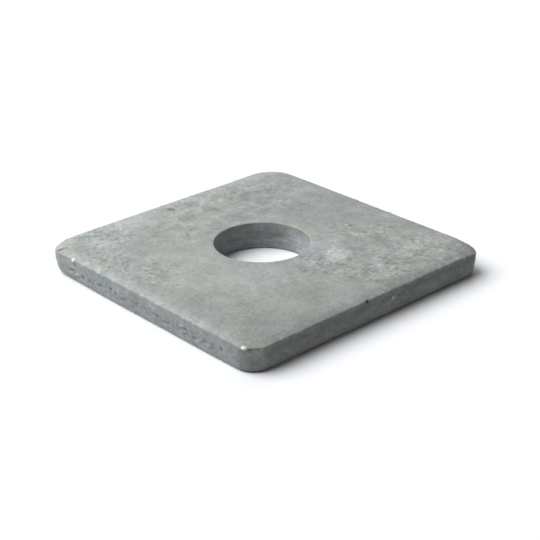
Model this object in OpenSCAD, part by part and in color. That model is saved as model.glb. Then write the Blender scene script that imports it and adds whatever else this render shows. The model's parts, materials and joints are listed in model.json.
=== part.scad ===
// Square plate washer: one piece of flat steel bar, blanked square with rounded corners,
// punched with one round bolt hole and hot-dip galvanised.
// All sizes are in millimetres and are taken over the zinc.
// The origin is the middle of the underside, and +Z points out of the top face.

/* [Plate] */
// Side of the square across its widest part
plate_side = 50.8; // [46:0.1:80]
// Thickness between the two flat faces
plate_t = 4.9; // [4.2:0.1:10]
// Plan radius of the four corners
corner_r = 4; // [2.5:0.1:6]

/* [Sheared edge] */
// Width of the roll-over, where the blanking die drew the top face down
edge_roll_w = 1.8; // [1:0.1:2.2]
// Radius of the roll-over's arc
edge_roll_r = 3.4; // [2.4:0.1:5]
// Radius of the nose between the roll-over and the upright land
edge_nose_r = 0.2; // [0.1:0.05:0.3]
// Height of the burnished land below the nose
edge_land_h = 1.2; // [0.3:0.1:1.5]
// Distance that the fractured band below the land leans in
fracture_in = 0.2; // [0.05:0.05:0.4]
// Radius of the lower edge
edge_foot_r = 0.6; // [0.2:0.05:0.8]

/* [Bolt hole] */
// Diameter of the punched hole
bore_d = 15.8; // [10:0.1:22]
// Distance of the hole's axis from the middle of the plate along X
bore_x = -0.9; // [-2:0.1:2]
// Distance of the hole's axis from the middle of the plate along Y
bore_y = 0.5; // [-2:0.1:2]
// Width of the roll-over round the hole, where the punch went in
rim_roll_w = 0.6; // [0.6:0.1:2]
// Radius of that roll-over's arc
rim_roll_r = 3; // [2.5:0.1:4]
// Radius of the nose between that roll-over and the wall of the hole
rim_nose_r = 0.2; // [0.1:0.05:0.2]
// Radius of the hole's lower edge
rim_foot_r = 0.4; // [0.2:0.05:0.8]

/* [Hidden] */
$fn = 120;
zinc_grey = "#a8aca8";
// Step that places between two arcs are rounded to
grid = 0.01;
// Width of the band in which the ring round the hole laps the core
ring_lap = 0.5;

// Square between the four corner centres
core_side = plate_side - 2 * corner_r;

// Sheared edge, outwards from the line of corner centres
edge_flat_w = corner_r - edge_roll_w;
edge_land_top = plate_t - nose_drop(edge_roll_w, edge_roll_r, edge_nose_r);
edge_land_low = edge_land_top - edge_land_h;
edge_foot_out = corner_r - fracture_in;
edge_foot_x = edge_foot_out - edge_foot_r;

// Ring round the hole, outwards from the hole's axis, with a flat band that laps the core
bore_r = bore_d / 2;
rim_r = bore_r + rim_roll_w;
core_hole_r = rim_r + ring_lap;
ring_r = core_hole_r + ring_lap;
rim_wall_top = plate_t - nose_drop(rim_roll_w, rim_roll_r, rim_nose_r);
rim_foot_x = bore_r + rim_foot_r;

// Depth of the nose's centre below the flat face: just above the place where its arc
// would touch the roll-over from inside, so that the two arcs cross
function nose_drop(width, roll_r, nose_r) =
    let (touch = roll_r - sqrt(pow(roll_r - nose_r, 2) - pow(width - nose_r, 2)))
    grid * (floor(touch / grid) - 1);

// Place across the roll-over where the nose takes over from it
function nose_start(width, roll_r, nose_r) =
    grid * round((width - nose_r) * roll_r / (roll_r - nose_r) / grid);

// Section of a flat face that rolls over to an upright wall: the flat ends at the origin
// and the wall starts at the far side of the nose
module rolled_top(width, roll_r, nose_r) {
    drop = nose_drop(width, roll_r, nose_r);
    intersection() {
        translate([0, -drop]) square([nose_start(width, roll_r, nose_r), drop]);
        translate([0, -roll_r]) circle(roll_r);
    }
    translate([width - nose_r, -drop]) circle(nose_r);
}

// Section of the sheared edge: flat, roll-over, nose, land, fracture and lower edge
module edge_section() {
    square([edge_flat_w, plate_t]);
    translate([edge_flat_w, plate_t]) rolled_top(edge_roll_w, edge_roll_r, edge_nose_r);
    polygon([
        [0, 0],
        [0, edge_land_top],
        [corner_r, edge_land_top],
        [corner_r, edge_land_low],
        [edge_foot_out, edge_foot_r],
        [edge_foot_x, edge_foot_r],
        [edge_foot_x, 0]
    ]);
    translate([edge_foot_x, edge_foot_r]) circle(edge_foot_r);
}

// Section of the ring round the hole: flat, roll-over, nose, wall and lower edge
module rim_section() {
    translate([rim_r, 0]) square([ring_r - rim_r, plate_t]);
    translate([rim_r, plate_t]) mirror([1, 0]) rolled_top(rim_roll_w, rim_roll_r, rim_nose_r);
    polygon([
        [rim_r, 0],
        [rim_r, rim_wall_top],
        [bore_r, rim_wall_top],
        [bore_r, rim_foot_r],
        [rim_foot_x, rim_foot_r],
        [rim_foot_x, 0]
    ]);
    translate([rim_foot_x, rim_foot_r]) circle(rim_foot_r);
}

// One straight side of the plate
module side_run() {
    translate([core_side / 2, 0, 0])
        rotate([90, 0, 0])
            linear_extrude(height = core_side, center = true) edge_section();
}

// One rounded corner of the plate
module corner_turn() {
    translate([core_side / 2, core_side / 2, 0])
        rotate_extrude(angle = 90) edge_section();
}

// Flat middle of the plate, open where the ring of the hole goes
module core() {
    difference() {
        translate([-core_side / 2, -core_side / 2, 0]) cube([core_side, core_side, plate_t]);
        translate([bore_x, bore_y, -plate_t]) cylinder(r = core_hole_r, h = 3 * plate_t);
    }
}

// The washer
module plate_washer() {
    color(zinc_grey)
        union() {
            core();
            translate([bore_x, bore_y, 0]) rotate_extrude() rim_section();
            for (turn = [0 : 90 : 270])
                rotate(turn) {
                    side_run();
                    corner_turn();
                }
        }
}

plate_washer();
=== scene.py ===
import json
import math
import random
import bmesh
import bpy
import numpy as np
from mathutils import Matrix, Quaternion, Vector

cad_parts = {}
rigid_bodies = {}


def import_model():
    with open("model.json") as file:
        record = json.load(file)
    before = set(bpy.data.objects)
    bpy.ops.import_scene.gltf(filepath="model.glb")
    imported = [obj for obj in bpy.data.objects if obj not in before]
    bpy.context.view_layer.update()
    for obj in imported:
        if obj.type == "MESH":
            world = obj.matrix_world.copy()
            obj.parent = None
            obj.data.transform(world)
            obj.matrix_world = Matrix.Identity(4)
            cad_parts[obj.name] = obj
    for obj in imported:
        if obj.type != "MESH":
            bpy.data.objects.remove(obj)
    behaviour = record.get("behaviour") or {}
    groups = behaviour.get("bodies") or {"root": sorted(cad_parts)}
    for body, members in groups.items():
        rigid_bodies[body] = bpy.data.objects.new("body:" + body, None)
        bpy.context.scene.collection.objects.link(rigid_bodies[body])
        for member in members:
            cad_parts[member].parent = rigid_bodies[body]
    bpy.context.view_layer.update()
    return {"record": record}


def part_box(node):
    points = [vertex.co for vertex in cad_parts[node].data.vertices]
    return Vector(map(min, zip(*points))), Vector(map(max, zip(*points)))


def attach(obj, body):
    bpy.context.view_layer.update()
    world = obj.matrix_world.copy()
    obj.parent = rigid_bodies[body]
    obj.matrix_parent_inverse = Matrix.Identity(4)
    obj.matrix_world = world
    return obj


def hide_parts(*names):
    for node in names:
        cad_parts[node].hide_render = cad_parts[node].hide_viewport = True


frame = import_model()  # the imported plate, in metres
mm = 0.001

plateLow, plateHigh = [np.array(corner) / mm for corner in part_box("plate_washer")]
plateHalf = (plateHigh[0] - plateLow[0]) / 2
plateThick = plateHigh[2] - plateLow[2]
boreMount = next(mount for mount in frame["record"]["mounts"] if mount["name"] == "bore")
boreAt = np.array(boreMount["pos_m"][:2]) / mm
boreRadius = boreMount["dims"]["r_mm"]
cornerSigns = [(1, 1), (-1, 1), (-1, -1), (1, -1)]
quarterTurn = math.pi / 2
diagonal = math.sqrt(0.5)  # what a step along a corner's diagonal gives along X and along Y

# The plate's sections in millimetres, and how finely they are swept
plate = {
    "cornerRadii": (3.0, 4.8, 3.5, 3.5),  # from the +X +Y corner, anticlockwise seen from above
    "cornerDroops": (0.6, 0.15, 0.6, 0.05),  # how far the blanking drew each corner's top down
    "droopReach": 5.0,
    "droopPower": 2,  # how close to the top the droop keeps
    "cornerLeans": (0, 0, 0.65, 0.3),  # how far each corner's foot leans in, and from how far off
    "leanReaches": (6.0, 6.0, 14.0, 6.0),
    "leanPower": 10,  # how close to the foot the lean keeps
    "rollWidth": 1.7,
    "rollRadius": 2.5,
    "noseRadius": 0.3,
    "landHeight": 1.2,
    "fractureIn": 0.25,
    "footRadius": 0.65,
    "rimRollWidth": 0.6,
    "rimRollRadius": 3.0,
    "rimNoseRadius": 0.2,
    "rimFootRadius": 0.4,
    "sideSteps": 95,
    "cornerSteps": 9,
    "topRings": 14,
    "undersideRings": 4,
    "grain": 0.6,  # spacing of the points along a section, before the grid is made finer
    "sideGrain": 0.32,
    "weld": 0.004,  # points closer than this become one
    "faceMargin": 1,  # how far past a flat face its open loops are looked for
}
fewestArcSteps = 3


def arcPoints(centre, radius, start, end, grain):
    steps = max(fewestArcSteps, round(radius * abs(end - start) / grain))
    angles = [start + (end - start) * step / steps for step in range(1, steps + 1)]
    return [(centre[0] + radius * math.cos(angle), centre[1] + radius * math.sin(angle)) for angle in angles]


def linePoints(start, end, grain):
    steps = max(1, round(math.dist(start, end) / grain))
    return [tuple(np.array(start) + (np.array(end) - start) * step / steps) for step in range(1, steps + 1)]


def rolledTop(width, rollRadius, noseRadius, grain):
    # the flat face rolls over to an upright wall, which stands at zero; the flat ends at minus the width
    turn = math.asin((width - noseRadius) / (rollRadius - noseRadius))
    drop = rollRadius - (rollRadius - noseRadius) * math.cos(turn)
    roll = arcPoints((-width, plateThick - rollRadius), rollRadius, quarterTurn, quarterTurn - turn, grain)
    nose = arcPoints((-noseRadius, plateThick - drop), noseRadius, quarterTurn - turn, 0, grain)
    return [(-width, plateThick)] + roll + nose


def edgeSection(form):
    # outwards to the plate's side at zero: roll-over, nose, land, fracture and lower edge
    section = rolledTop(form["rollWidth"], form["rollRadius"], form["noseRadius"], form["grain"])
    landLow = (0, section[-1][1] - form["landHeight"])
    section += linePoints(section[-1], landLow, form["sideGrain"])
    section += linePoints(landLow, (-form["fractureIn"], form["footRadius"]), form["sideGrain"])
    footCentre = (-form["fractureIn"] - form["footRadius"], form["footRadius"])
    return section + arcPoints(footCentre, form["footRadius"], 0, -quarterTurn, form["grain"])


def rimSection(form):
    # inwards to the hole's wall at zero: roll-over, nose, wall and lower edge
    section = rolledTop(form["rimRollWidth"], form["rimRollRadius"], form["rimNoseRadius"], form["grain"])
    section += linePoints(section[-1], (0, form["rimFootRadius"]), form["grain"])
    footCentre = (-form["rimFootRadius"], form["rimFootRadius"])
    return section + arcPoints(footCentre, form["rimFootRadius"], 0, -quarterTurn, form["grain"])


def drawSection(section, place, outwards):
    # a small plane is merged to one vertex, which is extruded from point to point; the chain stays selected
    bpy.ops.mesh.select_all(action="DESELECT")
    start = (place[0] + outwards * section[0][0], place[1], section[0][1])
    bpy.ops.mesh.primitive_plane_add(size=1, location=start)
    bpy.ops.mesh.merge(type="CENTER")
    for near, far in zip(section, section[1:]):
        step = (outwards * (far[0] - near[0]), 0, far[1] - near[1])
        bpy.ops.mesh.extrude_region_move(TRANSFORM_OT_translate={"value": step})
    bpy.ops.mesh.select_linked()


def bridgeOpenLoops(piece, low, high, rings):
    # joins the two open loops that lie between two heights
    bpy.ops.mesh.select_all(action="DESELECT")
    bpy.ops.mesh.select_mode(type="EDGE")
    grid = bmesh.from_edit_mesh(piece.data)
    for edge in grid.edges:
        middle = (edge.verts[0].co.z + edge.verts[1].co.z) / 2
        edge.select_set(edge.is_boundary and low < middle < high)
    bmesh.update_edit_mesh(piece.data)
    bpy.ops.mesh.bridge_edge_loops(number_cuts=rings, interpolation="LINEAR")


def modelPlate(form):
    # modelled in millimetres and brought to the frame's metres when its shape is done
    bpy.ops.object.select_all(action="DESELECT")
    bpy.ops.mesh.primitive_plane_add(size=1)
    piece = bpy.context.object
    piece.name = "plateWasher"
    piece.data.name = "plateWasher"
    bpy.ops.object.mode_set(mode="EDIT")
    bpy.ops.mesh.delete(type="VERT")  # the sections below start the mesh afresh

    # the hole's rim, spun round its axis with as many points as the outline has; it is swept the other
    # way round than the outline, because its section runs inwards and the two bands must face one way
    around = 4 * (form["sideSteps"] + form["cornerSteps"])
    drawSection(rimSection(form), (boreAt[0] + boreRadius, boreAt[1]), -1)
    bpy.ops.mesh.spin(steps=around, angle=2 * math.pi, center=(boreAt[0], boreAt[1], 0), axis=(0, 0, 1))

    # the sheared edge, swept along each side and turned round each corner
    radii = form["cornerRadii"]
    drawSection(edgeSection(form), (plateHalf, radii[3] - plateHalf), 1)
    sideDirections = [(0, 1), (-1, 0), (0, -1), (1, 0)]
    for turn, (direction, sign) in enumerate(zip(sideDirections, cornerSigns)):
        step = (2 * plateHalf - radii[turn] - radii[turn - 1]) / form["sideSteps"]
        offset = (direction[0] * step, direction[1] * step, 0)
        bpy.ops.mesh.extrude_repeat(steps=form["sideSteps"], offset=offset)
        inset = plateHalf - radii[turn]
        centre = (sign[0] * inset, sign[1] * inset, 0)
        bpy.ops.mesh.spin(steps=form["cornerSteps"], angle=quarterTurn, center=centre, axis=(0, 0, -1))
    bpy.ops.mesh.select_all(action="SELECT")
    bpy.ops.mesh.remove_doubles(threshold=form["weld"])

    # the two flat faces
    bridgeOpenLoops(piece, plateThick / 2, plateThick + form["faceMargin"], form["topRings"])
    bridgeOpenLoops(piece, -form["faceMargin"], plateThick / 2, form["undersideRings"])
    bpy.ops.mesh.select_all(action="SELECT")
    bpy.ops.mesh.normals_make_consistent(inside=False)
    bpy.ops.object.mode_set(mode="OBJECT")
    bpy.ops.object.transform_apply(location=True, rotation=True, scale=True)
    bpy.ops.object.shade_smooth()
    finer = piece.modifiers.new("finerGrid", "SUBSURF")
    finer.levels = 1
    finer.render_levels = 1
    bpy.ops.object.modifier_apply(modifier="finerGrid")
    return piece


def readPoints(piece):
    points = np.empty(len(piece.data.vertices) * 3)
    piece.data.vertices.foreach_get("co", points)
    return points.reshape(-1, 3)


def readNormals(piece):
    normals = np.empty(len(piece.data.vertices) * 3)
    piece.data.vertices.foreach_get("normal", normals)
    return normals.reshape(-1, 3)


def writePoints(piece, points):
    piece.data.vertices.foreach_set("co", points.ravel())
    piece.data.update()


def smoothFall(distance):
    # 1 in the middle, falling smoothly to 0 at a distance of 1
    inside = np.clip(1 - distance, 0, 1)
    return inside * inside * (3 - 2 * inside)


def droopCorners(piece, form):
    points = readPoints(piece)
    rise = np.clip(points[:, 2] / plateThick, 0, 1)
    for number, sign in enumerate(cornerSigns):
        tip = np.array(sign) * (plateHalf - form["cornerRadii"][number] * (1 - diagonal))
        apart = np.linalg.norm(points[:, :2] - tip, axis=1)
        droop = form["cornerDroops"][number] * smoothFall(apart / form["droopReach"])
        points[:, 2] -= droop * rise ** form["droopPower"]
        lean = form["cornerLeans"][number] * smoothFall(apart / form["leanReaches"][number])
        lean *= (1 - rise) ** form["leanPower"]
        points[:, :2] -= lean[:, None] * np.array(sign) * diagonal
    writePoints(piece, points)


# Roughness of the zinc as geometry: width of its humps and their height, in millimetres
relief = {
    "wave": {"size": 7.0, "height": 0.06, "group": ""},
    "ripple": {"size": 1.3, "height": 0.035, "group": ""},
    "torn": {"size": 0.7, "height": 0.42, "group": "tornBand"},
    "lip": {"size": 0.8, "height": 0.11, "group": "upperEdge"},
}
reliefDepth = 2  # finer humps on top of the first
levelCloud = 0.5  # the cloud's value that moves nothing

# Bands of the sides that some of them keep to: middle height and reach, in millimetres
sideBands = {
    "tornBand": {"middle": 1.8, "reach": 1.4},
    "upperEdge": {"middle": 4.1, "reach": 0.6},
}
bandDepth = 1  # how far in from the side a band starts, and how far it takes to come in
bandFade = 0.7
leastWeight = 0.01


def groupPoints(piece, name, weights):
    group = piece.vertex_groups.new(name=name)
    for index in np.nonzero(weights > leastWeight)[0]:
        group.add([int(index)], float(weights[index]), "REPLACE")


def roughen(piece, reliefs):
    points = readPoints(piece)
    sideward = np.clip((np.abs(points[:, :2]).max(axis=1) - plateHalf + bandDepth) / bandFade, 0, 1)
    for name, band in sideBands.items():
        groupPoints(piece, name, sideward * smoothFall(np.abs(points[:, 2] - band["middle"]) / band["reach"]))
    for name, humps in reliefs.items():
        texture = bpy.data.textures.new(name, "CLOUDS")
        texture.noise_scale = humps["size"]
        texture.noise_depth = reliefDepth
        modifier = piece.modifiers.new(name, "DISPLACE")
        modifier.texture = texture
        modifier.texture_coords = "LOCAL"
        modifier.strength = humps["height"]
        modifier.mid_level = levelCloud
        modifier.vertex_group = humps["group"]
        bpy.ops.object.modifier_apply(modifier=name)
    piece.vertex_groups.clear()


# Drops and dints in the zinc, in millimetres: place, reach along x, y and z, and height along the normal
dints = [
    # drops on the edge by the left corner and on the front corner, each with hollows beside it
    {"at": (-17.8, -25.2, 4.05), "reach": (0.5, 0.9, 0.45), "height": 0.3},
    {"at": (-17.4, -25.4, 3.3), "reach": (0.5, 0.9, 0.4), "height": -0.2},
    {"at": (23.45, -25.0, 4.2), "reach": (0.7, 0.8, 0.45), "height": 0.3},
    {"at": (24.3, -24.5, 4.0), "reach": (0.5, 0.6, 0.3), "height": -0.2},
    {"at": (24.9, -23.7, 4.1), "reach": (0.5, 0.6, 0.3), "height": -0.2},
    {"at": (24.3, -24.5, 3.2), "reach": (0.5, 0.7, 0.3), "height": 0.15},
    # pits and drops on the front-left side
    {"at": (6.6, -25.3, 1.9), "reach": (0.6, 0.9, 0.3), "height": -0.15},
    {"at": (8.9, -25.3, 2.4), "reach": (0.5, 0.9, 0.35), "height": -0.2},
    {"at": (10.1, -25.3, 2.8), "reach": (0.5, 0.9, 0.3), "height": 0.25},
    {"at": (12.6, -25.3, 1.6), "reach": (0.7, 0.9, 0.3), "height": -0.15},
    {"at": (15.2, -25.3, 2.1), "reach": (0.7, 0.9, 0.3), "height": -0.2},
    {"at": (16.9, -25.3, 2.3), "reach": (0.5, 0.9, 0.3), "height": -0.2},
    {"at": (-6.9, -25.3, 2.5), "reach": (0.4, 0.9, 0.3), "height": 0.25},
    {"at": (-5.9, -25.3, 2.5), "reach": (0.4, 0.9, 0.25), "height": 0.2},
    {"at": (-18.6, -25.3, 2.1), "reach": (0.7, 0.9, 0.35), "height": -0.25},
    {"at": (-15.6, -25.3, 1.8), "reach": (0.6, 0.9, 0.4), "height": -0.3},
    {"at": (-16.2, -25.3, 2.1), "reach": (0.4, 0.9, 0.3), "height": 0.2},
    {"at": (-10.7, -25.3, 2.1), "reach": (1.0, 0.9, 0.4), "height": -0.25},
    {"at": (-6.4, -25.3, 2.2), "reach": (0.6, 0.9, 0.3), "height": -0.2},
    {"at": (3.8, -25.3, 2.1), "reach": (1.2, 0.9, 0.3), "height": -0.3},
    {"at": (10.6, -25.3, 2.5), "reach": (0.8, 0.9, 0.3), "height": -0.2},
    # nick in the right-hand upper edge, and the dints of that side
    {"at": (25.3, -1.8, 4.1), "reach": (0.9, 0.35, 0.35), "height": -0.25},
    {"at": (25.3, 1.7, 3.1), "reach": (0.9, 1.0, 0.3), "height": -0.15},
    {"at": (25.3, 3.8, 2.9), "reach": (0.9, 0.6, 0.3), "height": 0.12},
    {"at": (25.3, -5.1, 1.5), "reach": (0.9, 0.9, 0.35), "height": 0.12},
    {"at": (25.3, 13.9, 4.2), "reach": (0.9, 0.4, 0.3), "height": -0.15},
]

# Pits and drops scattered by chance over the four sides, and beads of zinc along their upper edges
scatter = {
    "seed": 5,
    "pitsPerSide": 46,
    "pitLow": 0.7,
    "pitHigh": 3.1,
    "pitReach": (0.22, 0.5),
    "pitDepth": (0.06, 0.2),
    "dropShare": 0.35,  # part of the pits that are drops instead, and a drop's height as a share of a depth
    "dropFactor": -0.6,
    "beadsPerSide": 26,
    "beadAt": (3.95, 4.35),
    "beadReach": (0.2, 0.4),
    "beadHeight": (0.03, 0.15),
    "span": 22.5,
    "depthReach": 0.9,  # how far in from the side a pit takes hold
    "tallness": (0.7, 1.1),  # shares of a pit's size
    "length": (0.8, 1.6),
    "lipAside": (0.5, 1.2),
    "lipFactor": -0.7,
}


def scatterDints(rules):
    chance = random.Random(rules["seed"])
    found = []
    for axis in (0, 1):
        for sign in (-1, 1):
            for step in range(rules["pitsPerSide"] + rules["beadsPerSide"]):
                kind = "pit" if step < rules["pitsPerSide"] else "bead"
                size = chance.uniform(*rules[kind + "Reach"])
                if kind == "pit":
                    height = chance.triangular(rules["pitLow"], rules["pitHigh"])
                    depth = -chance.uniform(*rules["pitDepth"])
                    depth *= rules["dropFactor"] if chance.random() < rules["dropShare"] else 1
                else:
                    height = chance.uniform(*rules["beadAt"])
                    depth = chance.uniform(*rules["beadHeight"])
                place = [0, 0, height]
                reach = [rules["depthReach"]] * 2 + [size * chance.uniform(*rules["tallness"])]
                place[axis] = sign * plateHalf
                place[1 - axis] = chance.uniform(-rules["span"], rules["span"])
                reach[1 - axis] = size * chance.uniform(*rules["length"])
                found.append({"at": place, "reach": reach, "height": depth})
                if kind == "pit" and depth < 0:  # the lip of zinc beside it
                    lip = [place[0], place[1], place[2] + chance.uniform(0, size)]
                    lip[1 - axis] -= chance.uniform(*rules["lipAside"]) * size
                    found.append({"at": lip, "reach": reach, "height": rules["lipFactor"] * depth})
    return found


def pressDints(piece, places):
    # each point also keeps how far it was pressed in or raised, which the zinc's colour follows as painted
    # shade in the pits and painted highlights on the drops
    points = readPoints(piece)
    normals = readNormals(piece)
    lift = np.zeros(len(points))
    for dint in places:
        near = np.nonzero(np.all(np.abs(points - dint["at"]) < dint["reach"], axis=1))[0]
        apart = np.linalg.norm((points[near] - dint["at"]) / dint["reach"], axis=1)
        lift[near] += dint["height"] * smoothFall(apart)
    moved = points + normals * lift[:, None]
    moved[:, 2] = np.clip(moved[:, 2], 0, None)  # the underside stays flat where it rests
    writePoints(piece, moved)
    pressed = piece.data.attributes.new("lift", "FLOAT", "POINT")
    pressed.data.foreach_set("value", lift)


plateWasher = modelPlate(plate)
print("plate modelled:", len(plateWasher.data.polygons), "faces")
droopCorners(plateWasher, plate)
roughen(plateWasher, relief)
pressDints(plateWasher, dints + scatterDints(scatter))
plateWasher.scale = (mm, mm, mm)
bpy.ops.object.transform_apply(location=True, rotation=True, scale=True)
print("zinc surface roughened")


def linearColour(hexColour):
    channels = [int(hexColour[i:i + 2], 16) / 255 for i in (1, 3, 5)]
    return [c / 12.92 if c <= 0.04045 else ((c + 0.055) / 1.055) ** 2.4 for c in channels] + [1]


def addNode(tree, kind, inputs, **settings):
    node = tree.nodes.new(kind)
    for name, value in settings.items():
        setattr(node, name, value)
    for socket, value in inputs.items():
        if isinstance(value, bpy.types.NodeSocket):
            tree.links.new(value, node.inputs[socket])
        else:
            node.inputs[socket].default_value = value
    return node


# Hot-dip zinc, dulled by its carbonate skin: matt grey with soft clouds of green and warm grey,
# a fine grain, and the metal showing only as a broad weak sheen
zincSkin = {
    "green": "#a5aca8",  # colours of the clouds, and where each lies in their noise
    "greenAt": 0.38,
    "grey": "#a7aca8",
    "greyAt": 0.5,
    "warm": "#a9aca7",
    "warmAt": 0.62,
    "metallic": 0.12,
    "roughness": 0.6,
    "warpSize": 2.6,  # sizes in millimetres
    "warpDepth": 1.4,
    "warpDetail": 3,
    "cloudSize": 7.0,
    "cloudDetail": 5,
    "noiseRoughness": 0.6,
    "liftRange": 0.25,
    "paintedPitShade": 0.5,  # painted shade in the pits and painted highlights on the drops and beads
    "paintedDropHighlight": 1.6,
    "bumpStrength": 0.5,
    "bumpDepth": 0.06,
}
noiseMean = 0.5

# Zones where the zinc differs: flecked and clouded parts of the top, the torn front-left side
# and the scored wall of the hole
flecked = [
    {"at": (6.5, 15.5, 4.8), "reach": (9.0, 5.5, 3.0), "turn": 40, "strength": 1},
    {"at": (19.5, 10.0, 4.8), "reach": (8.0, 12.0, 3.0), "turn": 0, "strength": 1},
    {"at": (12.0, 3.0, 4.8), "reach": (8.0, 10.0, 3.0), "turn": 0, "strength": 0.9},
    {"at": (-21.0, -18.0, 4.6), "reach": (9.0, 11.0, 3.0), "turn": 0, "strength": 1},
    {"at": (-9.0, -21.0, 4.6), "reach": (16.0, 6.0, 3.0), "turn": 10, "strength": 0.9},
    {"at": (-21.0, 4.0, 4.6), "reach": (7.0, 16.0, 3.0), "turn": 0, "strength": 0.6},
    {"at": (20.0, 19.0, 4.6), "reach": (10.0, 10.0, 3.0), "turn": 0, "strength": 0.9},
    {"at": (-15.0, 15.0, 4.6), "reach": (14.0, 12.0, 3.0), "turn": 0, "strength": 0.5},
    {"at": (-14.0, -6.0, 4.8), "reach": (10.0, 9.0, 3.0), "turn": 0, "strength": 0.45},
]
clouded = [
    {"at": (-16.0, 6.0, 4.8), "reach": (16.0, 28.0, 3.0), "turn": 0, "strength": 1},
    {"at": (16.0, 8.0, 4.8), "reach": (13.0, 20.0, 3.0), "turn": 0, "strength": 1},
]
torn = [{"at": (0, -25.7, 2.2), "reach": (60, 1.6, 3.5), "turn": 0, "strength": 0.4}]
scored = [{"at": (-5.0, 4.0, 1.8), "reach": (11, 11, 4.0), "turn": 0, "strength": 1}]

# Layers of lightness in the zinc: size in millimetres, and the part of the noise that goes from dark
# to light. The last one is also the fine grain of the surface
even = (1, 1, 1)
inRings = (0.1, 0.1, 1)  # drawn out level, for the lines round the hole's wall
layers = [
    {"size": 5.0, "stretch": even, "detail": 6, "zones": [],
     "from": 0.35, "to": 0.65, "dark": 0.9, "light": 1.1},
    {"size": 1.4, "stretch": even, "detail": 5, "zones": [],
     "from": 0.38, "to": 0.62, "dark": 0.92, "light": 1.08},
    {"size": 0.9, "stretch": even, "detail": 4, "zones": flecked,
     "from": 0.52, "to": 0.64, "dark": 1.0, "light": 1.4},
    {"size": 0.7, "stretch": even, "detail": 4, "zones": flecked,
     "from": 0.36, "to": 0.48, "dark": 0.6, "light": 1.0},
    {"size": 0.6, "stretch": even, "detail": 3, "zones": torn,
     "from": 0.4, "to": 0.6, "dark": 0.78, "light": 1.25},
    {"size": 0.3, "stretch": inRings, "detail": 2, "zones": scored,
     "from": 0.3, "to": 0.7, "dark": 0.7, "light": 1.3},
    {"size": 2.6, "stretch": even, "detail": 2, "zones": clouded,
     "from": 0.36, "to": 0.64, "dark": 0.82, "light": 1.16},
    {"size": 0.5, "stretch": even, "detail": 3, "zones": [],
     "from": 0.3, "to": 0.7, "dark": 0.84, "light": 1.16},
]

# Slopes of lightness along X in millimetres, mostly painted light and shade: paler to the left and darker to
# the right as the light falls off from the left, a pale band along the left end, a painted highlight on the
# upper edge along the right end and painted shade on the side below it
slopes = [
    # painted light: paler to the left and darker to the right, as the light falls off across the plate
    {"from": -25.4, "to": 25.4, "start": 0.95, "end": 0.73},
    {"from": -23.6, "to": -21.0, "start": 1.12, "end": 1.0},
    {"from": 21.8, "to": 23.4, "start": 1.0, "end": 0.97},
    # painted highlight on the nose of the right end
    {"from": 24.4, "to": 25.2, "start": 1.0, "end": 1.38},
    # painted shade on the right-hand side below the nose
    {"from": 25.15, "to": 25.35, "start": 1.0, "end": 0.69},
]
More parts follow.
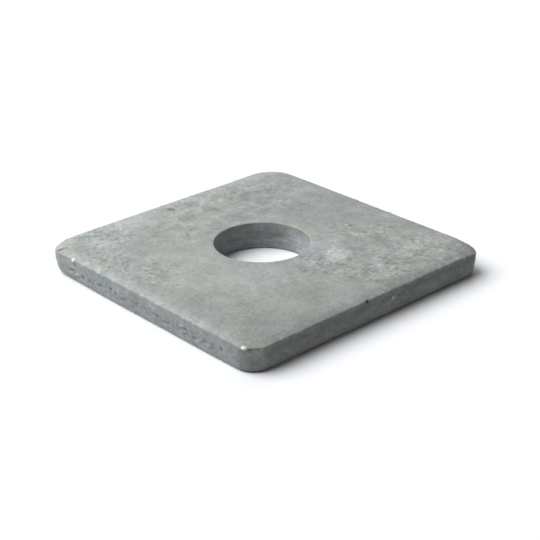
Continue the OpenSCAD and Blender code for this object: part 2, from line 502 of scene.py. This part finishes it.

# Stains and blooms of the zinc, with painted light and shade among them, in millimetres: place, reach, turn
# about Z in degrees, colour and strength
stainsAndPaintedLight = [
    # bloom right of the hole and pale patches round it
    {"at": (11.2, 6.0, 4.9), "reach": (4.2, 3.0, 1.2), "turn": -45, "colour": "#cdd2d1", "strength": 0.9},
    {"at": (8.0, 8.6, 4.9), "reach": (4.6, 2.8, 1.2), "turn": -30, "colour": "#b8bebf", "strength": 0.7},
    {"at": (10.6, 0.4, 4.9), "reach": (4.5, 3.4, 1.2), "turn": 60, "colour": "#b4babb", "strength": 0.6},
    {"at": (7.6, -6.4, 4.9), "reach": (7.0, 3.0, 1.2), "turn": 40, "colour": "#b2babe", "strength": 0.7},
    {"at": (20.8, -2.8, 4.9), "reach": (3.4, 3.0, 1.2), "turn": 0, "colour": "#b6bab9", "strength": 0.45},
    {"at": (23.2, -5.4, 4.7), "reach": (2.8, 4.0, 1.4), "turn": 0, "colour": "#babebc", "strength": 0.65},
    {"at": (7.0, 5.2, 4.9), "reach": (4.2, 4.2, 1.2), "turn": 0, "colour": "#b4bbbe", "strength": 0.7},
    # dark specks
    {"at": (2.3, 14.0, 4.8), "reach": (0.7, 0.4, 0.8), "turn": 40, "colour": "#6e736f", "strength": 0.6},
    {"at": (4.7, 15.6, 4.8), "reach": (0.7, 0.5, 0.8), "turn": 35, "colour": "#6e736f", "strength": 0.7},
    {"at": (8.1, 15.2, 4.8), "reach": (0.9, 0.4, 0.8), "turn": 30, "colour": "#666b67", "strength": 0.7},
    {"at": (9.8, 20.0, 4.8), "reach": (1.0, 0.5, 0.8), "turn": 50, "colour": "#737874", "strength": 0.5},
    {"at": (-10.1, -19.4, 4.8), "reach": (0.8, 0.5, 0.8), "turn": 45, "colour": "#7c817d", "strength": 0.7},
    {"at": (-6.2, -17.6, 4.8), "reach": (0.8, 0.5, 0.8), "turn": 45, "colour": "#7c817d", "strength": 0.7},
    # patches near the left corner and along the left end
    {"at": (-22.1, -19.6, 4.9), "reach": (3.0, 1.8, 1.2), "turn": 45, "colour": "#8e9492", "strength": 0.6},
    {"at": (-18.7, -19.0, 4.9), "reach": (4.5, 2.6, 1.2), "turn": 35, "colour": "#c4c9c8", "strength": 0.7},
    {"at": (-21.4, -10.2, 4.9), "reach": (3.2, 5.5, 1.2), "turn": 0, "colour": "#c0c3c0", "strength": 0.6},
    {"at": (-21.8, -1.9, 4.9), "reach": (1.3, 0.9, 0.9), "turn": 20, "colour": "#6f726c", "strength": 0.8},
    # broad soft stains of the top
    {"at": (-2.5, 14.7, 4.9), "reach": (6.5, 4.0, 1.2), "turn": 40, "colour": "#959c9b", "strength": 0.5},
    {"at": (-18.3, 11.7, 4.9), "reach": (5.0, 3.5, 1.2), "turn": 40, "colour": "#a3a19b", "strength": 0.5},
    {"at": (21.3, 10.7, 4.9), "reach": (3.0, 5.0, 1.2), "turn": 0, "colour": "#adaaa3", "strength": 0.5},
    {"at": (10.2, -15.2, 4.9), "reach": (6.0, 4.0, 1.2), "turn": 30, "colour": "#aeaba8", "strength": 0.4},
    {"at": (-10.2, -14.2, 4.9), "reach": (6.0, 3.5, 1.2), "turn": 30, "colour": "#aba9a7", "strength": 0.4},
    {"at": (21.5, -20.5, 4.6), "reach": (7.0, 5.0, 1.6), "turn": 45, "colour": "#979c98", "strength": 0.6},
    {"at": (3.0, -13.0, 4.9), "reach": (18, 11, 1.5), "turn": 20, "colour": "#b9bcb8", "strength": 0.5},
    {"at": (-10.0, 16.0, 4.9), "reach": (20, 13, 2.0), "turn": 30, "colour": "#9a9f9c", "strength": 0.7},
    # front-left side: a painted bluish cast of the light that falls on it
    {"at": (0, -25.7, 2.0), "reach": (60, 1.6, 6.0), "turn": 0, "colour": "#abb1b4", "strength": 0.7},
    # wall of the hole: painted bluish shade over the wall, deeper painted shade on its left part and a
    # painted pool of light on its right part
    {"at": (-0.9, 0.5, 1.5), "reach": (14, 14, 4.2), "turn": 0, "colour": "#949da3", "strength": 0.9},
    {"at": (-5.6, 6.4, 2.2), "reach": (6.0, 6.0, 2.6), "turn": 0, "colour": "#8b9296", "strength": 0.6},
    {"at": (1.8, 8.0, 1.8), "reach": (7.5, 6.0, 3.4), "turn": 0, "colour": "#bfc4c7", "strength": 1},
    # painted shade on the front corner's side, a paler right-hand corner of the top, and painted shade on the
    # right-hand land
    {"at": (24.4, -24.4, 2.0), "reach": (3.0, 3.0, 3.0), "turn": 0, "colour": "#8b8f8b", "strength": 0.4},
    {"at": (19.0, 18.0, 4.9), "reach": (9.0, 9.0, 2.0), "turn": 0, "colour": "#b6bbb7", "strength": 0.5},
    {"at": (25.9, 0, 3.3), "reach": (1.0, 90, 1.1), "turn": 0, "colour": "#7d817e", "strength": 0.7},
    # painted shade in the nick and a painted highlight on a drop on the right-hand side, and a crack in the
    # left corner
    {"at": (25.2, -1.8, 4.15), "reach": (0.7, 0.4, 0.4), "turn": 0, "colour": "#2e302e", "strength": 0.9},
    {"at": (25.4, 3.8, 2.9), "reach": (0.6, 0.4, 0.4), "turn": 0, "colour": "#f0f0ec", "strength": 0.8},
    {"at": (-22.4, -24.6, 4.3), "reach": (1.4, 0.4, 1.2), "turn": 48, "colour": "#4c4c48", "strength": 0.9},
    # painted highlights on the drops
    {"at": (-17.8, -25.2, 4.1), "reach": (0.5, 0.7, 0.5), "turn": 0, "colour": "#f8f8f4", "strength": 1},
    {"at": (23.45, -25.0, 4.2), "reach": (0.7, 0.7, 0.45), "turn": 0, "colour": "#fbfbf2", "strength": 1},
]
sharpReach = 2.0  # marks smaller than this keep their outline
fullCover = 0.75  # how near its middle, from 0 at its outline, a mark reaches its full strength


def pulledPlace(tree, place, skin):
    # the patterns are pulled about a little, so that no cloud or stain has a plain outline
    pull = addNode(tree, "ShaderNodeTexNoise", {
        "Vector": place, "Scale": 1 / (skin["warpSize"] * mm), "Detail": skin["warpDetail"]})
    centred = addNode(tree, "ShaderNodeVectorMath", {0: pull.outputs["Color"], 1: [noiseMean] * 3},
                      operation="SUBTRACT")
    reach = [skin["warpDepth"] * mm] * 3
    pulled = addNode(tree, "ShaderNodeVectorMath", {0: centred.outputs[0], 1: reach, 2: place},
                     operation="MULTIPLY_ADD")
    return pulled.outputs[0]


def cloudColour(tree, warped, skin):
    cloud = addNode(tree, "ShaderNodeTexNoise", {
        "Vector": warped, "Scale": 1 / (skin["cloudSize"] * mm),
        "Detail": skin["cloudDetail"], "Roughness": skin["noiseRoughness"]})
    tone = addNode(tree, "ShaderNodeValToRGB", {"Fac": cloud.outputs["Fac"]})
    ramp = tone.color_ramp
    ramp.elements[0].position = skin["greenAt"]
    ramp.elements[0].color = linearColour(skin["green"])
    ramp.elements[1].position = skin["warmAt"]
    ramp.elements[1].color = linearColour(skin["warm"])
    ramp.elements.new(skin["greyAt"]).color = linearColour(skin["grey"])
    return tone.outputs[0]


def coverage(tree, place, warped, mark):
    # how far a rounded mark covers the zinc: its strength in the middle, and nothing past its reach
    spot = addNode(tree, "ShaderNodeMapping", {
        "Vector": place if max(mark["reach"]) < sharpReach else warped,
        "Location": [c * mm for c in mark["at"]],
        "Rotation": (0, 0, math.radians(mark["turn"])),
        "Scale": [c * mm for c in mark["reach"]]}, vector_type="TEXTURE")
    ball = addNode(tree, "ShaderNodeTexGradient", {"Vector": spot.outputs[0]}, gradient_type="SPHERICAL")
    share = addNode(tree, "ShaderNodeMapRange",
                    {0: ball.outputs["Fac"], 1: 0, 2: fullCover, 3: 0, 4: mark["strength"]},
                    interpolation_type="SMOOTHSTEP")
    return share.outputs[0]


def noiseLayer(tree, place, warped, skin, number, layer):
    # one layer's noise, and the swing in lightness that it gives inside the layer's zones
    drawn = addNode(tree, "ShaderNodeMapping", {"Vector": place, "Scale": layer["stretch"]})
    grain = addNode(tree, "ShaderNodeTexNoise", {
        "Vector": drawn.outputs[0], "W": number, "Scale": 1 / (layer["size"] * mm),
        "Detail": layer["detail"], "Roughness": skin["noiseRoughness"]}, noise_dimensions="4D").outputs["Fac"]
    swing = addNode(tree, "ShaderNodeMapRange", {
        0: grain, 1: layer["from"], 2: layer["to"], 3: layer["dark"], 4: layer["light"]}).outputs[0]
    covered = None
    for zone in layer["zones"]:
        share = coverage(tree, place, warped, zone)
        if covered is not None:
            share = addNode(tree, "ShaderNodeMath", {0: covered, 1: share}, operation="MAXIMUM").outputs[0]
        covered = share
    if covered is not None:
        swing = addNode(tree, "ShaderNodeMix", {0: covered, 2: 1.0, 3: swing}, data_type="FLOAT").outputs[0]
    return grain, swing


def lightness(tree, place, warped, skin):
    # painted shade in the pits and painted highlights on the raised drops and beads, the slopes across the
    # plate, then the layers of noise
    pressed = addNode(tree, "ShaderNodeAttribute", {}, attribute_name="lift")
    shade = addNode(tree, "ShaderNodeMapRange", {
        0: pressed.outputs["Fac"], 1: -skin["liftRange"], 2: skin["liftRange"],
        3: skin["paintedPitShade"], 4: skin["paintedDropHighlight"]}).outputs[0]
    across = addNode(tree, "ShaderNodeSeparateXYZ", {0: place}).outputs[0]
    for slope in slopes:
        swing = addNode(tree, "ShaderNodeMapRange", {
            0: across, 1: slope["from"] * mm, 2: slope["to"] * mm,
            3: slope["start"], 4: slope["end"]}).outputs[0]
        shade = addNode(tree, "ShaderNodeMath", {0: shade, 1: swing}, operation="MULTIPLY").outputs[0]
    for number, layer in enumerate(layers):
        grain, swing = noiseLayer(tree, place, warped, skin, number, layer)
        shade = addNode(tree, "ShaderNodeMath", {0: shade, 1: swing}, operation="MULTIPLY").outputs[0]
    return shade, grain


def galvanisedSteel(skin, marks):
    material = bpy.data.materials.new("hotDipGalvanisedSteel")
    material.use_nodes = True
    tree = material.node_tree
    shader = tree.nodes["Principled BSDF"]
    place = addNode(tree, "ShaderNodeTexCoord", {}).outputs["Object"]
    warped = pulledPlace(tree, place, skin)
    colour = cloudColour(tree, warped, skin)
    for mark in marks:  # inputs 6 and 7 and output 2 of a mix are its colours
        cover = coverage(tree, place, warped, mark)
        stained = addNode(tree, "ShaderNodeMix", {0: cover, 6: colour, 7: linearColour(mark["colour"])},
                          data_type="RGBA")
        colour = stained.outputs[2]
    shade, grain = lightness(tree, place, warped, skin)
    shaded = addNode(tree, "ShaderNodeMix", {0: 1.0, 6: colour, 7: shade},
                     data_type="RGBA", blend_type="MULTIPLY")
    tree.links.new(shaded.outputs[2], shader.inputs["Base Color"])
    shader.inputs["Metallic"].default_value = skin["metallic"]
    shader.inputs["Roughness"].default_value = skin["roughness"]
    bump = addNode(tree, "ShaderNodeBump", {
        "Height": grain, "Strength": skin["bumpStrength"], "Distance": skin["bumpDepth"] * mm})
    tree.links.new(bump.outputs[0], shader.inputs["Normal"])
    return material


plateWasher.data.materials.clear()
plateWasher.data.materials.append(galvanisedSteel(zincSkin, stainsAndPaintedLight))
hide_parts("plate_washer")
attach(plateWasher, "root")
print("plate dressed")

# A pale floor, one broad soft light from the left, a weaker one from behind and a dim plain fill
studio = {
    "floorSize": 4.0,  # metres
    "floorColour": "#f9fbfe",
    "floorBounce": "#a6a6a6",
    "floorRoughness": 1.0,
    "floorGloss": 0.0,
    "lights": [  # azimuths are where the light comes from, clockwise from +Y in degrees
        {"name": "keyLight", "strength": 3.3, "angle": 56.0, "azimuth": 219.0, "elevation": 52.5},
        {"name": "backLight", "strength": 0.6, "angle": 60.0, "azimuth": 305.0, "elevation": 45.0},
    ],
    "fill": 0.12,
}


def paleFloor(room):
    bpy.ops.object.select_all(action="DESELECT")
    bpy.ops.mesh.primitive_plane_add(size=room["floorSize"])
    floor = bpy.context.object
    floor.name = "floor"
    # matt white paper: white to the eye and in reflections, but a grey that throws less light up at
    # the plate's sides
    material = bpy.data.materials.new("mattPaper")
    material.use_nodes = True
    tree = material.node_tree
    rays = addNode(tree, "ShaderNodeLightPath", {})
    seen = rays.outputs["Is Camera Ray"]
    for ray in ("Is Glossy Ray", "Is Transmission Ray"):
        either = addNode(tree, "ShaderNodeMath", {0: seen, 1: rays.outputs[ray]}, operation="MAXIMUM")
        seen = either.outputs[0]
    paper = addNode(tree, "ShaderNodeMix", {
        0: seen, 6: linearColour(room["floorBounce"]), 7: linearColour(room["floorColour"])},
        data_type="RGBA")
    shader = tree.nodes["Principled BSDF"]
    tree.links.new(paper.outputs[2], shader.inputs["Base Color"])
    shader.inputs["Roughness"].default_value = room["floorRoughness"]
    shader.inputs["Specular IOR Level"].default_value = room["floorGloss"]
    floor.data.materials.append(material)


def softLight(room):
    for light in room["lights"]:
        bpy.ops.object.light_add(type="SUN")
        sun = bpy.context.object
        sun.name = light["name"]
        sun.data.energy = light["strength"]
        sun.data.angle = math.radians(light["angle"])
        azimuth = math.radians(light["azimuth"])
        elevation = math.radians(light["elevation"])
        level = math.cos(elevation)
        towards = Vector((level * math.sin(azimuth), level * math.cos(azimuth), math.sin(elevation)))
        sun.rotation_euler = towards.to_track_quat("Z", "Y").to_euler()
    world = bpy.data.worlds.new("plainFill")
    bpy.context.scene.world = world
    world.use_nodes = True
    background = world.node_tree.nodes["Background"]
    background.inputs["Color"].default_value = (1, 1, 1, 1)
    background.inputs["Strength"].default_value = room["fill"]


paleFloor(studio)
softLight(studio)

# The photograph's view: angles in degrees, distances in millimetres from the plate's middle
view = {
    "azimuth": 47.92,
    "elevation": 25.52,
    "roll": -0.785,
    "distance": 223.5,
    "aimRight": 1.013,
    "aimUp": 0.128,
    "lens": 90.12,
    "sensor": 36.0,
    "nearest": 5.0,
}


def placeCamera(shot):
    bpy.ops.object.camera_add()
    camera = bpy.context.object
    azimuth = math.radians(shot["azimuth"])
    elevation = math.radians(shot["elevation"])
    level = math.cos(elevation)
    back = Vector((math.sin(azimuth) * level, -math.cos(azimuth) * level, math.sin(elevation)))
    turn = (-back).to_track_quat("-Z", "Y") @ Quaternion((0, 0, 1), math.radians(shot["roll"]))
    right = turn @ Vector((1, 0, 0))
    up = turn @ Vector((0, 1, 0))
    camera.location = (back * shot["distance"] + right * shot["aimRight"] + up * shot["aimUp"]) * mm
    camera.rotation_euler = turn.to_euler()
    camera.data.lens = shot["lens"]
    camera.data.sensor_width = shot["sensor"]
    camera.data.clip_start = shot["nearest"] * mm
    bpy.context.scene.camera = camera


placeCamera(view)
bpy.context.scene.view_settings.view_transform = "Standard"
print("studio and camera set")
